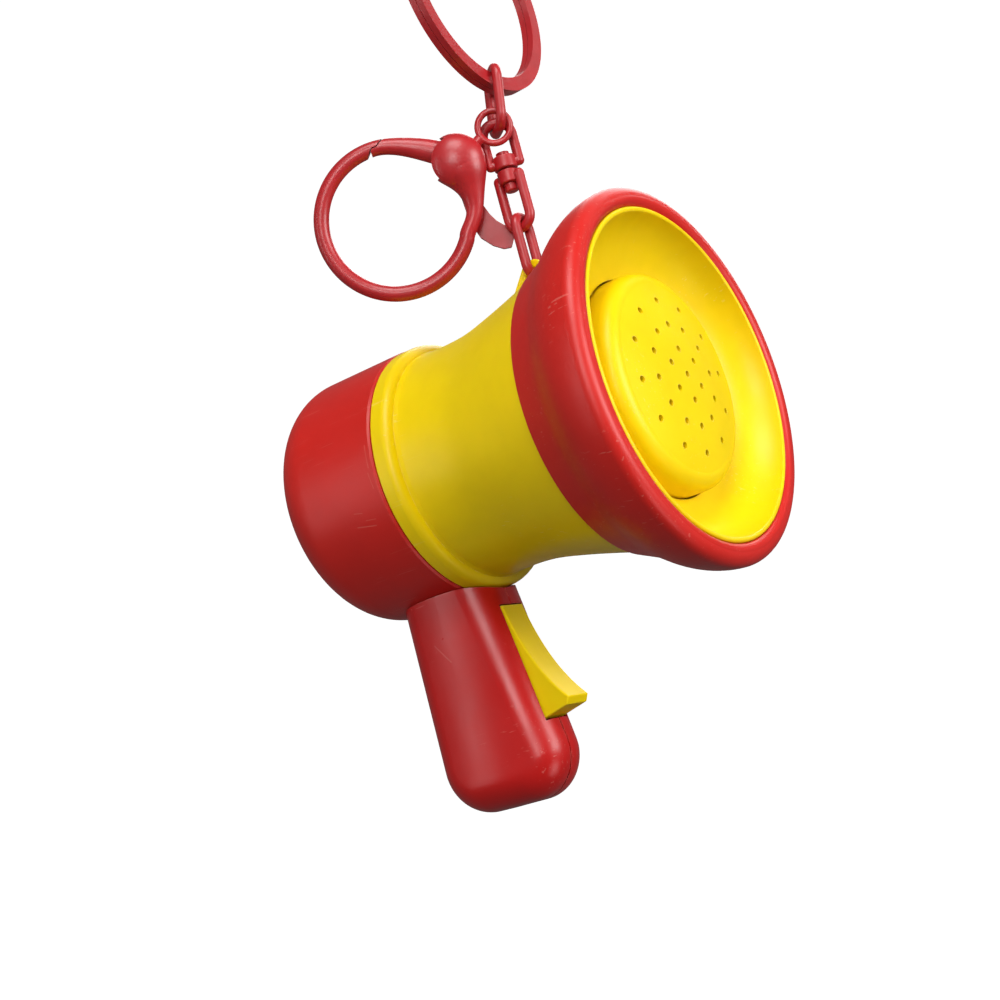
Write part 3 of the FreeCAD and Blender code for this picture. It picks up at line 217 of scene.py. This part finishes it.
def painted(name, colour, pale, rough):
    """Baked paint on metal: slight orange peel, uneven tone, thin paint and chips on edges."""
    sheet = Sheet(name)
    clouds = sheet.ramp(sheet.noise(240.0, 4.0, 0.6), 0.3, 0.7)
    peel = sheet.noise(1500.0, 2.0, 0.5)
    rim = sheet.edges(EDGE_WEAR)
    thin = sheet.math("MULTIPLY", rim, sheet.ramp(sheet.noise(900.0, 4.0, 0.7), 0.45, 0.58))
    chips = sheet.math("MULTIPLY", rim, sheet.ramp(sheet.noise(2600.0, 3.0, 0.6), 0.72, 0.75))
    tone = sheet.mix(clouds, tuple(part * 0.82 for part in colour), colour)
    tone = sheet.mix(sheet.math("MULTIPLY", thin, 0.4), tone, pale)
    tone = sheet.mix(chips, tone, STEEL)
    sheet.feed(sheet.shader.inputs["Base Color"], tone)
    sheet.feed(sheet.shader.inputs["Metallic"], chips)
    sheet.feed(sheet.shader.inputs["Roughness"],
               sheet.ramp(sheet.noise(380.0, 4.0, 0.6), 0.25, 0.75, rough - 0.06, rough + 0.08))
    lines = sheet.scratches(5200.0, (0.7, 0.3, 1.1), 0.0)
    sheet.bump(sheet.math("SUBTRACT", peel, sheet.math("MULTIPLY", lines, 0.5)), 0.5, 0.00004)
    sheet.plain(IOR=1.5, Coat_Weight=0.25, Coat_Roughness=0.24)
    return sheet.material


def bare(name, colour, rough, turn=(0.0, 0.0, 0.0), metallic=1.0):
    """Bare metal or sintered magnet: brushed along one direction, dull patches, brighter edges."""
    sheet = Sheet(name)
    brush = sheet.noise(1.0, 3.0, 0.6, sheet.stretched((260.0, 6200.0, 6200.0), turn))
    stains = sheet.ramp(sheet.noise(300.0, 5.0, 0.65), 0.35, 0.75)
    rim = sheet.edges(EDGE_WEAR)
    tone = sheet.mix(stains, colour, tuple(part * 0.7 for part in colour))
    bright = tuple(min(1.0, part * 1.3) for part in colour)
    tone = sheet.mix(sheet.math("MULTIPLY", rim, 0.5), tone, bright)
    sheet.feed(sheet.shader.inputs["Base Color"], tone)
    spread = sheet.math("ADD", sheet.ramp(brush, 0.3, 0.7, rough - 0.07, rough + 0.07),
                        sheet.math("MULTIPLY", stains, 0.1))
    sheet.feed(sheet.shader.inputs["Roughness"], spread)
    sheet.bump(brush, 0.4, 0.00002)
    sheet.plain(Metallic=metallic)
    return sheet.material


def dull(name, colour, pale, rough, grain_size=3800.0):
    """Matt plastic, card or film: fine grain, dust in patches, paler edges."""
    sheet = Sheet(name)
    grain = sheet.noise(grain_size, 3.0, 0.6)
    dust = sheet.ramp(sheet.noise(210.0, 5.0, 0.65), 0.5, 0.8)
    rim = sheet.edges(EDGE_WEAR)
    tone = sheet.mix(sheet.math("MULTIPLY", dust, 0.25), colour, pale)
    tone = sheet.mix(sheet.math("MULTIPLY", rim, 0.4), tone, pale)
    sheet.feed(sheet.shader.inputs["Base Color"], tone)
    sheet.feed(sheet.shader.inputs["Roughness"],
               sheet.ramp(grain, 0.3, 0.7, rough - 0.08, rough + 0.08))
    sheet.bump(grain, 0.5, 0.00003)
    return sheet.material


def board(name):
    """Green solder resist over copper tracks on a fine grid, with a glassy coat."""
    sheet = Sheet(name)
    tracks = sheet.node("ShaderNodeTexBrick", offset=0.5, squash=1.0)
    sheet.feed(tracks.inputs["Vector"], sheet.stretched((1.0, 1.0, 1.0), (0.0, math.pi / 2, 0.0)))
    tracks.inputs["Scale"].default_value = 420.0
    tracks.inputs["Mortar Size"].default_value = 0.045
    copper = sheet.math("MULTIPLY", tracks.outputs["Fac"],
                        sheet.ramp(sheet.noise(330.0, 2.0), 0.46, 0.5))
    clouds = sheet.ramp(sheet.noise(260.0, 4.0), 0.3, 0.7)
    tone = sheet.mix(clouds, (0.012, 0.13, 0.045), (0.016, 0.17, 0.06))
    tone = sheet.mix(sheet.math("MULTIPLY", copper, 0.6), tone, (0.05, 0.34, 0.12))
    tone = sheet.mix(sheet.math("MULTIPLY", sheet.edges(EDGE_WEAR), 0.6), tone, (0.42, 0.36, 0.22))
    sheet.feed(sheet.shader.inputs["Base Color"], tone)
    sheet.feed(sheet.shader.inputs["Roughness"],
               sheet.ramp(sheet.noise(900.0, 3.0), 0.3, 0.7, 0.25, 0.4))
    sheet.bump(copper, 0.4, 0.00004)
    sheet.plain(Coat_Weight=0.3)
    return sheet.material


# ---------------------------------------------------------------- the object's finishes

mouth_low, mouth_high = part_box("bell_rim")
MOUTH = (mouth_low + mouth_high) / 2
MOUTH.x = mouth_high.x - LIP_ROUND
cup_low, cup_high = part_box("rear_cup")
grip_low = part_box("handle_left")[0]


def on_grip(forward, up):
    """Point on the near face of the grip, in metres from its lower rear corner."""
    return (grip_low.x + forward, grip_low.y, grip_low.z + up)


def on_cup(back, degrees):
    """Point on the cup's near side: metres behind its front edge, and degrees below the level."""
    radius = (cup_high.z - cup_low.z) / 2
    angle = math.radians(degrees)
    return (cup_high.x - back, -radius * math.cos(angle), MOUTH.z - radius * math.sin(angle))


# Scuffs, and two strokes on the cup that are a painted glint: start, end and width, in metres
GRIP_MARKS = (
    (on_grip(0.0059, 0.0240), on_grip(0.0080, 0.0212), 0.00014),
    (on_grip(0.0051, 0.0222), on_grip(0.0060, 0.0232), 0.00010),
    (on_grip(0.0100, 0.0090), on_grip(0.0104, 0.0106), 0.00008),
)
CUP_GLINT_AND_SCUFFS = (
    # Painted glint: two pale strokes along the cup's near front edge
    (on_cup(0.0009, -11.0), on_cup(0.0009, -1.0), 0.00012),
    (on_cup(0.0012, 1.0), on_cup(0.0010, 8.0), 0.00008),
    # Scuffs: short strokes across the cup
    (on_cup(0.0056, 15.0), on_cup(0.0043, 16.0), 0.00008),
    (on_cup(0.0060, 21.0), on_cup(0.0030, 23.0), 0.00010),
    (on_cup(0.0042, 19.5), on_cup(0.0026, 20.3), 0.00007),
)
FINISHES = {
    "cup_plastic": moulded("red_satin_cup", RED, (0.72, 0.22, 0.17), 0.40, scuffs_and_glints=CUP_GLINT_AND_SCUFFS),
    "red_plastic": moulded("red_satin", RED, (0.72, 0.22, 0.17), 0.40),
    # The grip's darker red is painted shade, not a different plastic
    "grip_plastic": moulded("red_satin_grip", SHADED_GRIP_RED, (0.70, 0.24, 0.20), 0.32, scuffs_and_glints=GRIP_MARKS),
    "yellow_plastic": moulded("yellow_satin", YELLOW, (0.90, 0.74, 0.25), 0.38,
                              glow=0.15, shine=0.3),
    "lever_plastic": moulded("yellow_matt", YELLOW, (0.90, 0.74, 0.25), 0.52,
                             glow=0.15, shine=0.1),
    "red_metal": painted("red_paint", PAINT_RED, (0.50, 0.07, 0.07), 0.40),
    "bare_steel": bare("screw_steel", STEEL, 0.34),
    "magnet": bare("dark_magnet", (0.07, 0.07, 0.075), 0.62, metallic=0.35),
    "cone_film": dull("cone_film", (0.50, 0.44, 0.30), (0.66, 0.62, 0.50), 0.5),
    "circuit": board("green_board"),
    "black_plastic": dull("black_case", (0.018, 0.018, 0.02), (0.10, 0.10, 0.105), 0.55),
    "wire_cover": dull("wire_cover", (0.30, 0.015, 0.015), (0.48, 0.12, 0.10), 0.45, 6000.0),
    "cell_can": bare("cell_can", (0.70, 0.70, 0.68), 0.24),
    "nickel": bare("nickel", NICKEL, 0.22, (0.0, 0.0, 0.8)),
}
OTHER_FINISH = {
    "rear_cup": "cup_plastic",
    "handle_left": "grip_plastic",
    "handle_right": "grip_plastic",
    "trigger": "lever_plastic",
}

for part in frame["record"]["subparts"]:
    node = frame["nodes"][part["node"]]
    finish = FINISHES[OTHER_FINISH.get(part["node"], part["material_slot"])]
    for slot in node.material_slots:
        slot.material = finish
    if not node.material_slots:
        node.data.materials.append(finish)


# ---------------------------------------------------------------- rib behind the grip's seam

# Metres
GRIP_WALL = 0.0014          # the wall and the heel's bend are as the housing has them
GRIP_HEEL_R = 0.0068
RIB_TOP = 0.0264            # above the grip's foot
RIB_FOOT_RUN = 0.006
RIB_HALF_WIDTH = 0.0008
RIB_HEIGHT = 0.0005
RIB_OFF_WALL = 0.00002
HEEL_STEPS = 16


def rib_path():
    """Points on the grip's inner wall at the seam, each with the way into the hollow, as (x, z)."""
    rear, foot = grip_low.x + GRIP_WALL, grip_low.z + GRIP_WALL
    radius = GRIP_HEEL_R - GRIP_WALL
    path = [((rear, grip_low.z + RIB_TOP), (1.0, 0.0))]
    for step in range(HEEL_STEPS + 1):
        angle = math.pi / 2 * step / HEEL_STEPS
        inward = (math.cos(angle), math.sin(angle))
        path.append(((rear + radius * (1 - inward[0]), foot + radius * (1 - inward[1])), inward))
    path.append(((rear + radius + RIB_FOOT_RUN, foot), (0.0, 1.0)))
    return path


def seam_rib():
    """Low rib behind the joint of the grip's halves, so that no light shows through."""
    outline = ((-1.0, 0.0), (-1.0, 0.7), (-0.8, 1.0), (0.8, 1.0), (1.0, 0.7), (1.0, 0.0))
    shape = bmesh.new()
    rings = []
    for (x, z), (in_x, in_z) in rib_path():
        ring = []
        for across, up in outline:
            depth = RIB_OFF_WALL + RIB_HEIGHT * up
            place = (x + in_x * depth, across * RIB_HALF_WIDTH, z + in_z * depth)
            ring.append(shape.verts.new(place))
        rings.append(ring)
    for near, far in zip(rings, rings[1:]):
        for at in range(len(outline)):
            after = (at + 1) % len(outline)
            shape.faces.new((near[at], near[after], far[after], far[at]))
    shape.faces.new(rings[0])
    shape.faces.new(rings[-1])
    bmesh.ops.recalc_face_normals(shape, faces=shape.faces)
    mesh = bpy.data.meshes.new("grip_seam_rib")
    shape.to_mesh(mesh)
    shape.free()
    mesh.materials.append(FINISHES["grip_plastic"])
    made = bpy.data.objects.new("grip_seam_rib", mesh)
    bpy.context.scene.collection.objects.link(made)
    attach(made, "horn")


seam_rib()


# ---------------------------------------------------------------- floor, lights and camera

RIGHT = Vector((0.7785, 0.5756, -0.2501)).normalized()
LOOK = Vector((-0.5480, 0.8177, 0.1760)).normalized()
UP = RIGHT.cross(LOOK)
EYE_FROM_MOUTH = Vector((0.10157, -0.20243, -0.05001))
LENS_MM = 64.262
SENSOR_MM = 36.0
NEAREST = 0.01              # the camera's clip start, m
FLOOR_DROP = 0.055          # from the object's lowest point to the floor, m
BOWL_R = 1.5
BEND_R = 0.7
FLOOR_RINGS = (0.0, 0.1, 0.3)
BEND_STEPS = 12
BOWL_STEPS = 96
WALL_TOP = 1.9
PAPER_GLOW = 0.80           # keeps the paper white behind the object
AMBIENT = 0.15              # strength of the even light from all round
AIM_BEHIND_MOUTH = Vector((0.02, 0, 0.005))

# Each light: name; place beside, above and in front of its target, m; size, m; power, W
LIGHTS = (
    ("key", -0.10, 0.66, 0.40, (0.40, 0.35), 3.9),
    ("mouth", 0.50, 0.24, 0.28, (0.32, 0.32), 3.1),
    ("streak", -0.14, 0.20, 0.62, (0.24, 0.30), 1.9),
    ("left", -0.58, -0.04, 0.22, (0.07, 0.45), 0.55),
    ("fill", 0.50, -0.30, 0.35, (0.30, 0.30), 1.05),
    ("back", 0.15, 0.40, -0.60, (0.50, 0.40), 3.0),
)


def backdrop():
    """Pale floor that curves up into a round wall, turned on a lathe."""
    floor_z = CAD_BOX[0][2] - FLOOR_DROP
    profile = [(radius, 0.0) for radius in (*FLOOR_RINGS, BOWL_R - BEND_R)]
    for step in range(1, BEND_STEPS + 1):
        angle = math.radians(90.0 * step / BEND_STEPS)
        profile.append((BOWL_R - BEND_R + BEND_R * math.sin(angle), BEND_R * (1 - math.cos(angle))))
    profile.append((BOWL_R, WALL_TOP))
    shape = bmesh.new()
    verts = [shape.verts.new((radius, 0.0, floor_z + height)) for radius, height in profile]
    edges = [shape.edges.new(pair) for pair in zip(verts, verts[1:])]
    bmesh.ops.spin(shape, geom=verts + edges, axis=(0, 0, 1), cent=(0, 0, 0), dvec=(0, 0, 0),
                   angle=2 * math.pi, steps=BOWL_STEPS, use_merge=True)
    bmesh.ops.remove_doubles(shape, verts=shape.verts, dist=1e-5)
    bmesh.ops.recalc_face_normals(shape, faces=shape.faces)
    for face in shape.faces:
        face.smooth = True
    mesh = bpy.data.meshes.new("backdrop")
    shape.to_mesh(mesh)
    shape.free()
    made = bpy.data.objects.new("backdrop", mesh)
    bpy.context.scene.collection.objects.link(made)
    sheet = Sheet("pale_paper")
    tone = sheet.mix(sheet.noise(9.0, 3.0), (0.86, 0.86, 0.86), (0.88, 0.88, 0.88))
    sheet.feed(sheet.shader.inputs["Base Color"], tone)
    sheet.bump(sheet.noise(900.0, 3.0), 0.1, 0.0001)
    sheet.plain(Roughness=0.9, Emission_Color=(1, 1, 1, 1), Emission_Strength=PAPER_GLOW)
    mesh.materials.append(sheet.material)
    made.visible_glossy = False
    made.visible_diffuse = False


def softbox(name, side, rise, near, size, power):
    """Soft rectangular light, placed in the camera's directions from its target and facing it."""
    target = MOUTH - AIM_BEHIND_MOUTH
    place = target + RIGHT * side + UP * rise - LOOK * near
    lamp = bpy.data.lights.new(name, "AREA")
    lamp.shape = "RECTANGLE"
    lamp.size, lamp.size_y = size
    lamp.energy = power
    made = bpy.data.objects.new(name, lamp)
    bpy.context.scene.collection.objects.link(made)
    back = (place - target).normalized()
    across = UP.cross(back).normalized()
    basis = Matrix((across, back.cross(across), back)).transposed().to_4x4()
    made.matrix_world = Matrix.Translation(place) @ basis


def camera():
    lens = bpy.data.cameras.new("camera")
    lens.lens = LENS_MM
    lens.sensor_width = SENSOR_MM
    lens.clip_start = NEAREST
    made = bpy.data.objects.new("camera", lens)
    bpy.context.scene.collection.objects.link(made)
    basis = Matrix((RIGHT, UP, -LOOK)).transposed().to_4x4()
    made.matrix_world = Matrix.Translation(MOUTH + EYE_FROM_MOUTH) @ basis
    bpy.context.scene.camera = made


backdrop()
for light in LIGHTS:
    softbox(*light)
world = bpy.data.worlds.new("studio")
bpy.context.scene.world = world
world.use_nodes = True
world.node_tree.nodes["Background"].inputs["Color"].default_value = (1.0, 1.0, 1.0, 1.0)
world.node_tree.nodes["Background"].inputs["Strength"].default_value = AMBIENT
bpy.context.scene.view_settings.view_transform = "Standard"
camera()
